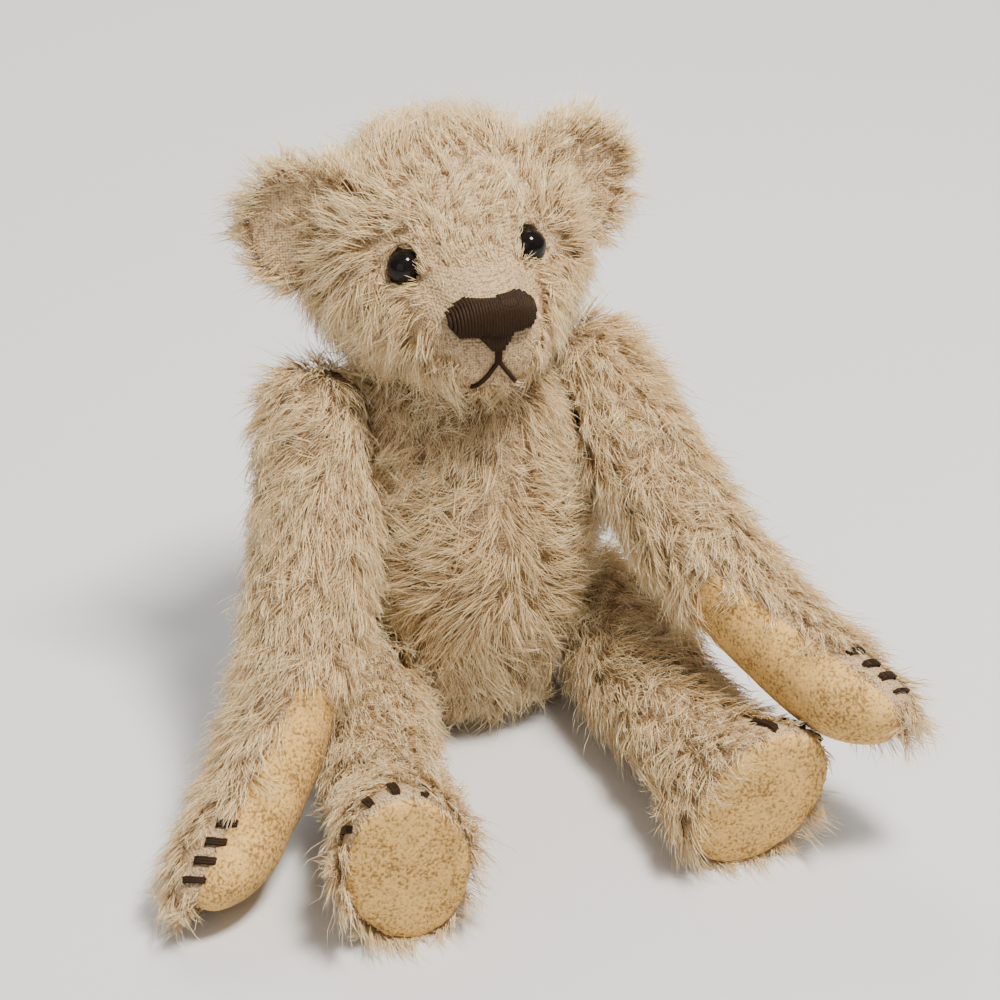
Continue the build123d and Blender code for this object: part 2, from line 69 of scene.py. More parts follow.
class Shader:
    """A material with its node tree and its surface shader."""

    def __init__(self, name: str, colour: Colour, roughness: float) -> None:
        """Starts a material.

        Args:
            name: the material's name.
            colour: linear base colour.
            roughness: surface roughness.
        """
        self.material = bpy.data.materials.new(name)
        self.material.use_nodes = True
        self.material.diffuse_color = (*colour, 1.0)
        self.nodes = self.material.node_tree.nodes
        self.links = self.material.node_tree.links
        self.surface = self.nodes["Principled BSDF"]
        self.surface.inputs["Base Color"].default_value = (*colour, 1.0)
        self.surface.inputs["Roughness"].default_value = roughness

    def set(self, **values: float) -> "Shader":
        """Sets constant shader values.

        Args:
            **values: socket names with underscores for spaces, and their values.

        Returns:
            The shader itself.
        """
        for name, value in values.items():
            self.surface.inputs[name.replace("_", " ")].default_value = value
        return self

    def node(self, kind: str, **inputs: object) -> bpy.types.Node:
        """Adds a node.

        Args:
            kind: the node's type name.
            **inputs: input names and values.

        Returns:
            The new node.
        """
        node = self.nodes.new(kind)
        for name, value in inputs.items():
            node.inputs[name.replace("_", " ")].default_value = value
        return node

    def object_coords(self) -> bpy.types.NodeSocket:
        """The socket with the piece's own coordinates, in metres."""
        return self.node("ShaderNodeTexCoord").outputs["Object"]

    def noise(self, scale: float, detail: float, coords: bpy.types.NodeSocket) -> bpy.types.NodeSocket:
        """A noise value.

        Args:
            scale: features per metre.
            detail: octaves.
            coords: the coordinates it reads.

        Returns:
            The noise factor's socket.
        """
        node = self.node("ShaderNodeTexNoise", Scale=scale, Detail=detail, Roughness=0.6)
        self.links.new(coords, node.inputs["Vector"])
        return node.outputs["Fac"]

    def maths(self, operation: str, first: object, second: object) -> bpy.types.NodeSocket:
        """Combines two values.

        Args:
            operation: the name of the operation.
            first: a socket or a number.
            second: a socket or a number.

        Returns:
            The result's socket.
        """
        node = self.nodes.new("ShaderNodeMath")
        node.operation = operation
        for place, value in enumerate((first, second)):
            if isinstance(value, (int, float)):
                node.inputs[place].default_value = value
            else:
                self.links.new(value, node.inputs[place])
        return node.outputs[0]

    def ramp(self, factor: bpy.types.NodeSocket, stops: list[tuple[float, Colour]]) -> None:
        """Colours the base by a factor.

        Args:
            factor: the driving socket.
            stops: places from 0 to 1, with their colours.
        """
        node = self.nodes.new("ShaderNodeValToRGB")
        while len(node.color_ramp.elements) < len(stops):
            node.color_ramp.elements.new(0.5)
        for element, (place, colour) in zip(node.color_ramp.elements, stops):
            element.position = place
            element.color = (*colour, 1.0)
        self.links.new(factor, node.inputs["Fac"])
        self.links.new(node.outputs["Color"], self.surface.inputs["Base Color"])

    def rough(self, factor: bpy.types.NodeSocket, low: float, high: float) -> None:
        """Varies the roughness between two values.

        Args:
            factor: the driving socket.
            low: roughness where the factor is 0.
            high: roughness where it is 1.
        """
        node = self.node("ShaderNodeMapRange", To_Min=low, To_Max=high)
        self.links.new(factor, node.inputs["Value"])
        self.links.new(node.outputs["Result"], self.surface.inputs["Roughness"])

    def bump(self, height: bpy.types.NodeSocket, strength: float, depth: float) -> None:
        """Raises the surface by a height.

        Args:
            height: the driving socket.
            strength: from 0 to 1.
            depth: real height in metres.
        """
        node = self.node("ShaderNodeBump", Strength=strength, Distance=depth)
        self.links.new(height, node.inputs["Height"])
        self.links.new(node.outputs["Normal"], self.surface.inputs["Normal"])

    def bands(self, coords: bpy.types.NodeSocket, turn: tuple, pitch: float) -> bpy.types.NodeSocket:
        """Soft parallel bands.

        Args:
            coords: the coordinates it reads.
            turn: how the bands are turned, in radians about each axis.
            pitch: from one band to the next, in metres.

        Returns:
            The bands' factor socket.
        """
        place = self.node("ShaderNodeMapping", Rotation=turn)
        self.links.new(coords, place.inputs["Vector"])
        wave = self.node("ShaderNodeTexWave", Scale=math.pi / (10 * pitch), Distortion=1.2, Detail=1.0)
        wave.inputs["Detail Scale"].default_value = 0.6
        self.links.new(place.outputs["Vector"], wave.inputs["Vector"])
        return wave.outputs["Fac"]


@dataclass(frozen=True)
class Backing:
    """The woven cloth that the pile grows from."""

    thread: Colour = (0.56, 0.40, 0.235)
    gap: Colour = (0.24, 0.155, 0.08)
    pitch: float = 0.5 * MM

    def build(self) -> bpy.types.Material:
        """Returns the material."""
        shader = Shader("mohair_backing", self.thread, 0.9).set(Specular_IOR_Level=0.2)
        coords = shader.object_coords()
        beads = shader.node("ShaderNodeTexVoronoi", Scale=1 / self.pitch, Randomness=0.5)
        shader.links.new(coords, beads.inputs["Vector"])
        weave = shader.maths("SUBTRACT", 0.85, beads.outputs["Distance"])
        mottle = shader.noise(900, 4, coords)
        height = shader.maths("ADD", weave, shader.maths("MULTIPLY", mottle, 0.5))
        soft = tuple(0.5 * (a + b) for a, b in zip(self.thread, self.gap))
        shader.ramp(height, [(0.38, self.gap), (0.52, soft), (0.82, self.thread)])
        shader.rough(mottle, 0.8, 0.98)
        shader.bump(height, 0.8, 0.3 * MM)
        return shader.material


@dataclass(frozen=True)
class Suede:
    """Napped golden suede with a sandy grain and rubbed patches."""

    colour: Colour = (0.60, 0.375, 0.125)
    dark: Colour = (0.27, 0.15, 0.045)

    def build(self) -> bpy.types.Material:
        """Returns the material."""
        shader = Shader("suede", self.colour, 0.95).set(Specular_IOR_Level=0.1, Sheen_Weight=0.05)
        coords = shader.object_coords()
        grain = shader.noise(1700, 5, coords)
        patches = shader.noise(160, 3, coords)
        fine = shader.maths("MULTIPLY", grain, 0.75)
        mix = shader.maths("ADD", fine, shader.maths("MULTIPLY", patches, 0.3))
        pale = tuple(min(1.0, c * 1.25) for c in self.colour)
        shader.ramp(mix, [(0.43, self.dark), (0.52, self.colour), (0.64, pale)])
        shader.rough(patches, 0.85, 1.0)
        shader.bump(grain, 0.8, 0.3 * MM)
        return shader.material


@dataclass(frozen=True)
class Floss:
    """Stranded thread with a fine twist, its twist ridges painted lighter as a highlight."""

    name: str
    colour: Colour
    # the painted highlight on the twist's ridges, not the thread's own colour
    light: Colour

    def build(self) -> bpy.types.Material:
        """Returns the material."""
        shader = Shader(self.name, self.colour, 0.55).set(Specular_IOR_Level=0.12)
        coords = shader.object_coords()
        twist = shader.bands(coords, (0.5, 0.6, 0.9), 0.2 * MM)
        fuzz = shader.noise(2200, 3, coords)
        height = shader.maths("MULTIPLY", twist, fuzz)
        # Painted highlight: the raised ridges of the twist are coloured towards the lighter colour
        shader.ramp(height, [(0.05, self.colour), (0.6, self.light)])
        shader.rough(fuzz, 0.45, 0.7)
        shader.bump(height, 0.6, 0.08 * MM)
        return shader.material


@dataclass(frozen=True)
class Gloss:
    """Polished black glass with a breath of dust."""

    colour: Colour = (0.004, 0.003, 0.003)

    def build(self) -> bpy.types.Material:
        """Returns the material."""
        shader = Shader("eye_glass", self.colour, 0.05).set(Specular_IOR_Level=0.2)
        dust = shader.noise(700, 3, shader.object_coords())
        shader.ramp(dust, [(0.4, self.colour), (0.8, (0.012, 0.009, 0.007))])
        shader.rough(dust, 0.03, 0.09)
        return shader.material


@dataclass(frozen=True)
class Hard:
    """Pressed board or plain steel for the joints inside."""

    name: str
    colour: Colour
    metallic: float
    roughness: float

    def build(self) -> bpy.types.Material:
        """Returns the material."""
        shader = Shader(self.name, self.colour, self.roughness).set(Metallic=self.metallic)
        grain = shader.noise(1200, 4, shader.object_coords())
        dark = tuple(0.6 * c for c in self.colour)
        shader.ramp(grain, [(0.3, dark), (0.7, self.colour)])
        shader.rough(grain, self.roughness * 0.8, min(1.0, self.roughness * 1.2))
        shader.bump(grain, 0.3, 0.05 * MM)
        return shader.material


@dataclass(frozen=True)
class Hair:
    """One plain tone of the pile: roots, middles and tips each have theirs; the darker root tones are painted
    shade deep in the pile.
    """

    name: str
    colour: Colour
    roughness: float = 0.5

    def build(self) -> bpy.types.Material:
        """Returns the material."""
        shader = Shader(self.name, self.colour, self.roughness)
        return shader.set(Specular_IOR_Level=0.18).material


@dataclass(frozen=True)
class Floor:
    """A pale, matt studio floor."""

    colour: Colour = (0.66, 0.66, 0.67)

    def build(self) -> bpy.types.Material:
        """Returns the material."""
        shader = Shader("floor", self.colour, 0.85)
        return shader.set(Specular_IOR_Level=0.15).material


# The two root tones are darker as painted shade deep in the pile
HAIR_TONES = (
    Hair("mohair_root_painted_shade", (0.30, 0.19, 0.085), 0.8),
    Hair("mohair_root_tan_painted_shade", (0.52, 0.345, 0.155), 0.75),
    Hair("mohair_body_taupe", (0.82, 0.61, 0.345)),
    Hair("mohair_body_cream", (0.95, 0.755, 0.45)),
    Hair("mohair_body_tan", (0.72, 0.51, 0.265)),
    Hair("mohair_tip_cream", (0.99, 0.825, 0.51), 0.5),
    Hair("mohair_tip_pale", (1.0, 0.90, 0.62), 0.45),
    Hair("mohair_tip_taupe", (0.90, 0.69, 0.41), 0.5),
)
# Each tone set: its share of the pile, and which tones its root, body and tip take
TONE_SETS = ((0.24, (1, 3, 6)), (0.38, (1, 2, 5)), (0.24, (0, 2, 5)), (0.14, (0, 4, 7)))


# Shared shapes


def body_centre(nodes: list[str]) -> Vector:
    """The middle of the box around some CAD nodes.

    Args:
        nodes: their names.

    Returns:
        The point, in metres.
    """
    boxes = [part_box(node) for node in nodes]
    low = Vector([min(box[0][axis] for box in boxes) for axis in range(3)])
    high = Vector([max(box[1][axis] for box in boxes) for axis in range(3)])
    return (low + high) / 2


def new_piece(name: str, mesh: bpy.types.Mesh, body: str) -> bpy.types.Object:
    """Adds a finished mesh as a piece that rides on a body.

    Args:
        name: the piece's name.
        mesh: its mesh, in the row frame.
        body: the CAD body it rides on.

    Returns:
        The piece.
    """
    piece = bpy.data.objects.new(name, mesh)
    bpy.context.scene.collection.objects.link(piece)
    mesh.shade_smooth()
    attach(piece, body)
    log.info("%s: %d faces on %s", name, len(mesh.polygons), body)
    return piece


def evaluated(obj: bpy.types.Object) -> bpy.types.Mesh:
    """The mesh of an object with its modifiers applied; the object is removed.

    Args:
        obj: a scratch object.

    Returns:
        The new mesh.
    """
    bpy.context.view_layer.update()
    graph = bpy.context.evaluated_depsgraph_get()
    mesh = bpy.data.meshes.new_from_object(obj.evaluated_get(graph))
    bpy.data.objects.remove(obj)
    return mesh


def scratch_object(name: str, data: bpy.types.ID) -> bpy.types.Object:
    """Links some data as a scratch object.

    Args:
        name: its name.
        data: a mesh or a curve.

    Returns:
        The object.
    """
    obj = bpy.data.objects.new(name, data)
    bpy.context.scene.collection.objects.link(obj)
    return obj


def node_tree(node: str) -> BVHTree:
    """A search tree over a CAD node's surface.

    Args:
        node: its name.

    Returns:
        The tree.
    """
    bm = bmesh.new()
    bm.from_mesh(frame["nodes"][node].data)
    tree = BVHTree.FromBMesh(bm)
    bm.free()
    return tree


def islands(bm: bmesh.types.BMesh) -> list[list[bmesh.types.BMVert]]:
    """The separate shells of a mesh, largest first.

    Args:
        bm: the mesh.

    Returns:
        The vertices of each shell.
    """
    seen: set = set()
    found = []
    for start in bm.verts:
        if start in seen:
            continue
        seen.add(start)
        group = [start]
        for vertex in group:
            for edge in vertex.link_edges:
                other = edge.other_vert(vertex)
                if other not in seen:
                    seen.add(other)
                    group.append(other)
        found.append(group)
    return sorted(found, key=len, reverse=True)


def threads(name: str, paths: list[list[Vector]], radius: float) -> bpy.types.Mesh:
    """Round threads along some paths, with pinched and closed ends.

    Args:
        name: the mesh's name.
        paths: the points of each thread, in metres.
        radius: the thread's radius.

    Returns:
        The mesh.
    """
    curve = bpy.data.curves.new(name, "CURVE")
    curve.dimensions = "3D"
    curve.bevel_depth = radius
    curve.bevel_resolution = 2
    curve.use_fill_caps = True
    for path in paths:
        spline = curve.splines.new("POLY")
        spline.points.add(len(path) - 1)
        for place, (point, at) in enumerate(zip(spline.points, path)):
            point.co = (*at, 1.0)
            point.radius = 0.6 if place in (0, len(path) - 1) else 1.0
    return evaluated(scratch_object(name, curve))


def smoothed(bm: bmesh.types.BMesh, verts: list[bmesh.types.BMVert]) -> None:
    """Moves some vertices half way to the middle of their neighbours.

    Args:
        bm: the mesh.
        verts: the vertices.
    """
    axes = {f"use_axis_{axis}": True for axis in "xyz"}
    bmesh.ops.smooth_vert(bm, verts=verts, factor=0.5, **axes)


# Skins

PLUG_RADIUS = 1.8  # of the plug that closes a skin's joint hole, in millimetres like the next two
PLUG_DEPTH = 0.9
PLUG_OUT = 0.75


@dataclass
class Skin:
    """The stuffed cloth of one body part, as a closed and slightly lumpy skin."""

    name: str
    body: str
    panels: list[str]  # CAD nodes of cloth and suede
    inside: list[str]  # CAD nodes that it hides
    joints: list[str]  # joints with a face on it
    voxel: float = 0.9 * MM
    smoothing: int = 4  # rounds
    fill: float = 0.85
    seam_depth: float = 0.5 * MM
    seam_width: float = 1.1 * MM
    lump: float = 0.35 * MM
    lump_size: float = 9 * MM
    calm: float = 9 * MM  # nearer than this to a joint's point there are no lumps
    dents: tuple = ()  # (middle, radius, depth) of each socket
    cup: float = 0.0  # how far the middle is pushed back
    settling: int = 12  # frames of cloth simulation
    settling_most: float = 0.5 * MM  # how far it may move the cloth

    def build(self, material: bpy.types.Material) -> "Skin":
        """Makes the piece.

        Args:
            material: the backing cloth.

        Returns:
            The skin itself, with its piece and its surface.
        """
        mesh = self.remeshed()
        bm = bmesh.new()
        bm.from_mesh(mesh)
        bpy.data.meshes.remove(mesh)
        bmesh.ops.delete(bm, geom=[v for shell in islands(bm)[1:] for v in shell], context="VERTS")
        for _ in range(self.smoothing):
            smoothed(bm, bm.verts)
        self.shape(bm)
        bmesh.ops.recalc_face_normals(bm, faces=bm.faces)
        mesh = bpy.data.meshes.new(self.name)
        bm.to_mesh(mesh)
        bm.free()
        self.puff(mesh)
        mesh.materials.append(material)
        self.piece = new_piece(self.name, mesh, self.body)
        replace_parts(self.piece, *self.panels, *self.inside)
        self.surface = Surface(mesh)
        return self

    def joint_points(self) -> list[tuple[Vector, Vector]]:
        """Each joint's point, and the direction from its face into this skin."""
        middle = body_centre(self.panels)
        found = []
        for joint in frame["joints"]:
            if joint["name"] in self.joints:
                point = Vector(joint["pos_m"])
                axis = Vector(joint["axis"]).normalized()
                found.append((point, axis if (middle - point).dot(axis) > 0 else -axis))
        return found

    def remeshed(self) -> bpy.types.Mesh:
        """The outer surface of its CAD nodes as one even mesh."""
        bm = bmesh.new()
        for node in (*self.panels, *self.inside):
            bm.from_mesh(frame["nodes"][node].data)
        for point, inward in self.joint_points():
            turn = inward.to_track_quat("Z", "Y").to_matrix().to_4x4()
            plug = Matrix.Translation(point + inward * PLUG_OUT * MM) @ turn
            radii = {"radius1": PLUG_RADIUS * MM, "radius2": PLUG_RADIUS * MM}
            bmesh.ops.create_cone(bm, cap_ends=True, segments=16, depth=PLUG_DEPTH * MM, matrix=plug, **radii)
        mesh = bpy.data.meshes.new(self.name + "_source")
        bm.to_mesh(mesh)
        bm.free()
        source = scratch_object(self.name + "_source", mesh)
        remesh = source.modifiers.new("even", "REMESH")
        remesh.mode = "VOXEL"
        remesh.voxel_size = self.voxel
        return evaluated(source)

    def shape(self, bm: bmesh.types.BMesh) -> None:
        """Sinks the seams and sockets, adds the lumps of the stuffing, and labels each vertex.

        Args:
            bm: the even mesh.
        """
        bm.normal_update()
        trees = [node_tree(node) for node in self.panels]
        points = self.joint_points()
        label = bm.verts.layers.int.new("panel")
        edge = bm.verts.layers.float.new("edge")
        middle = body_centre(self.panels)
        facing = self.facing()
        reach = max((vertex.co - middle).length for vertex in bm.verts)
        for vertex in bm.verts:
            gaps = [tree.find_nearest(vertex.co)[3] for tree in trees]
            order = sorted(range(len(gaps)), key=gaps.__getitem__)
            vertex[label] = order[0]
            vertex[edge] = gaps[order[1]] - gaps[order[0]] if len(gaps) > 1 else 1.0
        for vertex in bm.verts:
            calm = 1.0
            for point, _ in points:
                calm = min(calm, max(0.0, (vertex.co - point).length / self.calm - 1.0))
            groove = self.seam_depth * math.exp(-((vertex[edge] / self.seam_width) ** 2))
            lump = self.lump * noise.noise(vertex.co / self.lump_size) * calm
            move = lump - groove
            for centre, radius, depth in self.dents:
                move -= depth * math.exp(-(((vertex.co - centre).length / radius) ** 4))
            vertex.co += vertex.normal * move
            if self.cup:
                away = vertex.co - middle
                flat = (away - facing * away.dot(facing)).length / reach
                vertex.co -= facing * self.cup * max(0.0, 1 - flat**2)

    def facing(self) -> Vector:
        """The way an ear's open face looks."""
        first, last = (body_centre([node]) for node in (self.panels[0], self.panels[-1]))
        return (first - last).normalized()

    def puff(self, mesh: bpy.types.Mesh) -> None:
        """Lets the cloth settle over the pressure of its stuffing, a little.

        Args:
            mesh: the shaped skin, which is changed.
        """
        if self.cup:
            return
        scratch = scratch_object(self.name + "_puff", mesh.copy())
        cloth = scratch.modifiers.new("puff", "CLOTH")
        settings = cloth.settings
        settings.quality = 4
        settings.mass = 0.2
        settings.tension_stiffness = 12
        settings.compression_stiffness = 12
        settings.bending_stiffness = 0.3
        settings.use_pressure = True
        settings.uniform_pressure_force = 4
        settings.effector_weights.gravity = 0
        scene = bpy.context.scene
        for number in range(1, self.settling + 1):
            scene.frame_set(number)
        settled = evaluated(scratch)
        scene.frame_set(1)
        before = vertex_array(mesh)
        move = vertex_array(settled) - before
        length = np.linalg.norm(move, axis=1, keepdims=True)
        move *= np.minimum(1.0, self.settling_most / np.maximum(length, 1e-9))
        after = before + move
        after[:, 2] = np.maximum(after[:, 2], before[:, 2].min())
        mesh.vertices.foreach_set("co", after.astype(np.float32).ravel())
        mesh.update()
        bpy.data.meshes.remove(settled)


def vertex_array(mesh: bpy.types.Mesh) -> np.ndarray:
    """A mesh's vertex positions as an array, one row each."""
    flat = np.zeros(len(mesh.vertices) * 3, np.float32)
    mesh.vertices.foreach_get("co", flat)
    return flat.reshape(-1, 3).astype(float)


class Surface:
    """A skin's triangles, for placing pile and for telling inside from outside."""

    def __init__(self, mesh: bpy.types.Mesh) -> None:
        """Reads the mesh.

        Args:
            mesh: a closed skin.
        """
        mesh.calc_loop_triangles()
        self.co = vertex_array(mesh)
        tris = np.zeros(len(mesh.loop_triangles) * 3, np.int32)
        mesh.loop_triangles.foreach_get("vertices", tris)
        self.tris = tris.reshape(-1, 3)
        normals = np.zeros(len(mesh.vertices) * 3, np.float32)
        mesh.vertices.foreach_get("normal", normals)
        self.normals = normals.reshape(-1, 3).astype(float)
        self.panel = np.zeros(len(mesh.vertices), np.int32)
        mesh.attributes["panel"].data.foreach_get("value", self.panel)
        edge = np.zeros(len(mesh.vertices), np.float32)
        mesh.attributes["edge"].data.foreach_get("value", edge)
        self.edge = edge.astype(float)
        corners = self.co[self.tris]
        cross = np.cross(corners[:, 1] - corners[:, 0], corners[:, 2] - corners[:, 0])
        self.areas = np.linalg.norm(cross, axis=1) / 2
        self.tree = BVHTree.FromPolygons(self.co.tolist(), self.tris.tolist())
        self.low = self.co.min(0)
        self.high = self.co.max(0)

    def sample(self, count: int, rng: np.random.Generator) -> tuple[np.ndarray, np.ndarray, np.ndarray]:
        """Random points, evenly by area.

        Args:
            count: how many.
            rng: the seeded generator.

        Returns:
            The points, their unit normals, and the nearest vertex of each.
        """
        chosen = rng.choice(len(self.tris), count, p=self.areas / self.areas.sum())
        share = rng.random((count, 2))
        over = share.sum(1) > 1
        share[over] = 1 - share[over]
        weights = np.column_stack([1 - share.sum(1), share])
        corners = self.tris[chosen]
        points = np.einsum("ij,ijk->ik", weights, self.co[corners])
        normals = unit(np.einsum("ij,ijk->ik", weights, self.normals[corners]))
        nearest = corners[np.arange(count), weights.argmax(1)]
        return points, normals, nearest

    def holds(self, point: np.ndarray, margin: float = 0.0) -> bool:
        """Whether a point is inside the skin.

        Args:
            point: in metres.
            margin: how far outside still counts.

        Returns:
            True if it is inside.
        """
        if (point < self.low).any() or (point > self.high).any():
            return False
        at, normal, _, _ = self.tree.find_nearest(Vector(point))
        return (Vector(point) - at).dot(normal) < margin


def unit(rows: np.ndarray) -> np.ndarray:
    """Each row scaled to length 1."""
    return rows / np.maximum(np.linalg.norm(rows, axis=1, keepdims=True), 1e-12)


# Suede


@dataclass
class Pad:
    """A suede paw or sole, laid over the skin inside its seam."""

    name: str
    skin: Skin
    node: str
    lift: float = 0.05 * MM
    thick: float = 0.35 * MM
    fill: float = 0.8
    swell: float = 0.12  # of its soft unevenness, in millimetres
    rim_smoothing: int = 14  # rounds
    stitch_pitch: float = 2.1 * MM
    stitch_radius: float = 0.17 * MM

    def build(self, suede: bpy.types.Material, thread: bpy.types.Material) -> None:
        """Makes the pad and the stitches along its edge.

        Args:
            suede: the pad's finish.
            thread: the finish of its stitches.
        """
        bm = bmesh.new()
        bm.from_mesh(self.skin.piece.data)
        panel = bm.verts.layers.int["panel"]
        number = self.skin.panels.index(self.node)
        outside = [face for face in bm.faces if sum(v[panel] == number for v in face.verts) < 3]
        bmesh.ops.delete(bm, geom=outside, context="FACES")
        parts = islands(bm)
        bmesh.ops.delete(bm, geom=[v for part in parts[1:] for v in part], context="VERTS")
        self.relax_border(bm)
        bm.normal_update()
        for vertex in bm.verts:
            swell = noise.noise(vertex.co / (5 * MM)) * self.swell * MM
            vertex.co += vertex.normal * (self.lift + self.thick + swell)
        rim = self.border(bm)
        normals = [v.normal.copy() for v in rim]
        path = [v.co.copy() for v in rim]
        bmesh.ops.solidify(bm, geom=bm.faces, thickness=self.thick)
        bmesh.ops.recalc_face_normals(bm, faces=bm.faces)
        mesh = bpy.data.meshes.new(self.name)
        bm.to_mesh(mesh)
        bm.free()
        mesh.materials.append(suede)
        piece = new_piece(self.name, mesh, self.skin.body)
        soften = piece.modifiers.new("soften", "SUBSURF")
        soften.levels = 1
        soften.render_levels = 1
        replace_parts(piece, self.node)
        self.edge_stitches(path, normals, thread)

    def border(self, bm: bmesh.types.BMesh) -> list[bmesh.types.BMVert]:
        """The vertices around the pad's open edge, in order.

        Args:
            bm: the open pad.

        Returns:
            The vertices.
        """
        edges = [edge for edge in bm.edges if edge.is_boundary]
        start = edges[0].verts[0]
        chain = [start]
        last = None
        current = start
        while True:
            ways = [e.other_vert(current) for e in current.link_edges if e.is_boundary]
            ahead = [v for v in ways if v is not last]
            last, current = current, ahead[0]
            if current is start or len(chain) > len(edges):
                return chain
            chain.append(current)

    def relax_border(self, bm: bmesh.types.BMesh) -> None:
        """Smooths the stepped edge of the pad into a clean seam line.

        Args:
            bm: the open pad.
        """
        for _ in range(self.rim_smoothing):
            rim = self.border(bm)
            count = len(rim)
            places = [(rim[i - 1].co + rim[(i + 1) % count].co + rim[i].co) / 3 for i in range(count)]
            for vertex, place in zip(rim, places):
                vertex.co = place
            inner = [v for v in bm.verts if not v.is_boundary]
            near = [v for v in inner if any(e.other_vert(v).is_boundary for e in v.link_edges)]
            smoothed(bm, near)

    def edge_stitches(self, path: list[Vector], normals: list[Vector], thread: bpy.types.Material) -> None:
        """Whip-stitches over the seam, one every pitch.

        Args:
            path: the seam line.
            normals: the way out at each of its points.
            thread: the stitches' finish.
        """
        middle = sum(path, Vector()) / len(path)
        paths = []
        walked = 0.0
        for place, point in enumerate(path):
            walked += (point - path[place - 1]).length
            if walked < self.stitch_pitch:
                continue
            walked = 0.0
            out = (point - middle).normalized()
            along = (path[(place + 1) % len(path)] - point).normalized()
            lean = along * 0.35 * MM
            normal = normals[place]
            paths.append(
                [
                    point - out * 0.9 * MM - lean - normal * 0.2 * MM,
                    point - out * 0.55 * MM - lean * 0.5 + normal * 0.12 * MM,
                    point + out * 0.05 * MM + normal * 0.1 * MM,
                    point + out * 0.6 * MM + lean - normal * 0.9 * MM,
                ]
            )
        mesh = threads(self.name + "_seam", paths, self.stitch_radius)
        mesh.materials.append(thread)
        new_piece(self.name + "_seam", mesh, self.skin.body)


# Pile


class Comb(Enum):
    """How the pile of a skin lies."""

    LIMB = "along the limb"
    TORSO = "out from the front seam, and down"
    HEAD = "away from the nose"
    EAR = "out to the rim"


STRAND_NECK = 0.72  # the strand's width above its root, over its width at the root
STRAND_BODY = (0.3, 0.72)  # where its body starts and ends, from root to tip

# The pile's variety
LOCK_LENGTHS = (0.72, 1.2)  # shortest and longest lock over the usual
LOCK_LIFTS = (0.7, 1.35)
LOCK_TURN = 0.5  # radians that a lock strays from the comb
SEAM_EDGE = 0.6 * MM
SEAM_LENGTH = 0.8  # of a lock beside a seam
ROOT_SINK = 0.35  # how deep a strand starts below the cloth, in millimetres
LOOSE_SHARE = 0.2  # strands that leave their lock
LOOSE, NEAT = 1.0, 0.42
GATHER = (0.25, 0.95)  # how far a lock draws together at its tip
STRAND_LENGTHS = (0.66, 1.12)
STRAY = 0.17
LOCK_BOW, STRAND_BOW = 0.14, 0.09
BEND_AT = 0.45
BEND_HEIGHT = 0.2
STRAND_WIDTHS = (0.75, 1.25)
TIP_CLEARANCE = 0.3 * MM  # of a lock's tip over a neighbour's skin

# Where the pile changes
PART_BARE, PART_SHORT = 1.3 * MM, 3.8 * MM  # no pile, and short pile, this near to embroidery
JOINT_REACH, JOINT_DEPTH = 13 * MM, 5 * MM  # shorter pile round a joint's face
JOINT_BARE, JOINT_BARE_DEPTH = 9 * MM, 0.8 * MM
FRONT_SEAM_X, FRONT_SEAM_TURN = 2.0 * MM, math.radians(9)
BELLY_TOP, BELLY_DROP = 40, 25  # below it the torso's pile turns downward, in millimetres
CHEEK_IN, CHEEK_TOP = 6, 97  # on the head, in millimetres like the next rows
BROW_BOTTOM, BROW_BACK, BROW_SIDE = 92, 4, 15
MUZZLE_REACH, MUZZLE_FADE = 15, 7
EYE_BARE = 3.3
EAR_RIM, EAR_RIM_WIDTH = 7.0, 3.0


def strand_template() -> tuple[np.ndarray, np.ndarray, np.ndarray]:
    """One strand, as a closed spindle of three sides along +Z.

    Returns:
        Its vertices, its triangles, and the part of the strand (0 root, 1 body, 2 tip) of each.
    """
    bm = bmesh.new()
    start, end = STRAND_BODY
    bmesh.ops.create_cone(
        bm, cap_ends=True, segments=3, radius1=1.0, radius2=STRAND_NECK, depth=end - start
    )
    bmesh.ops.translate(bm, verts=bm.verts, vec=(0, 0, (start + end) / 2))
    caps = [face for face in bm.faces if len(face.verts) == 3]
    for vertex in bmesh.ops.poke(bm, faces=caps)["verts"]:
        vertex.co.z = 0.0 if vertex.co.z < 0.5 else 1.0
    bmesh.ops.triangulate(bm, faces=bm.faces)
    bmesh.ops.recalc_face_normals(bm, faces=bm.faces)
    bm.verts.index_update()
    points = np.array([v.co[:] for v in bm.verts])
    tris = np.array([[v.index for v in face.verts] for face in bm.faces])
    heights = points[tris][:, :, 2]
    part = np.where(heights.min(1) < 0.01, 0, np.where(heights.max(1) > 0.99, 2, 1))
    bm.free()
    return points, tris, part


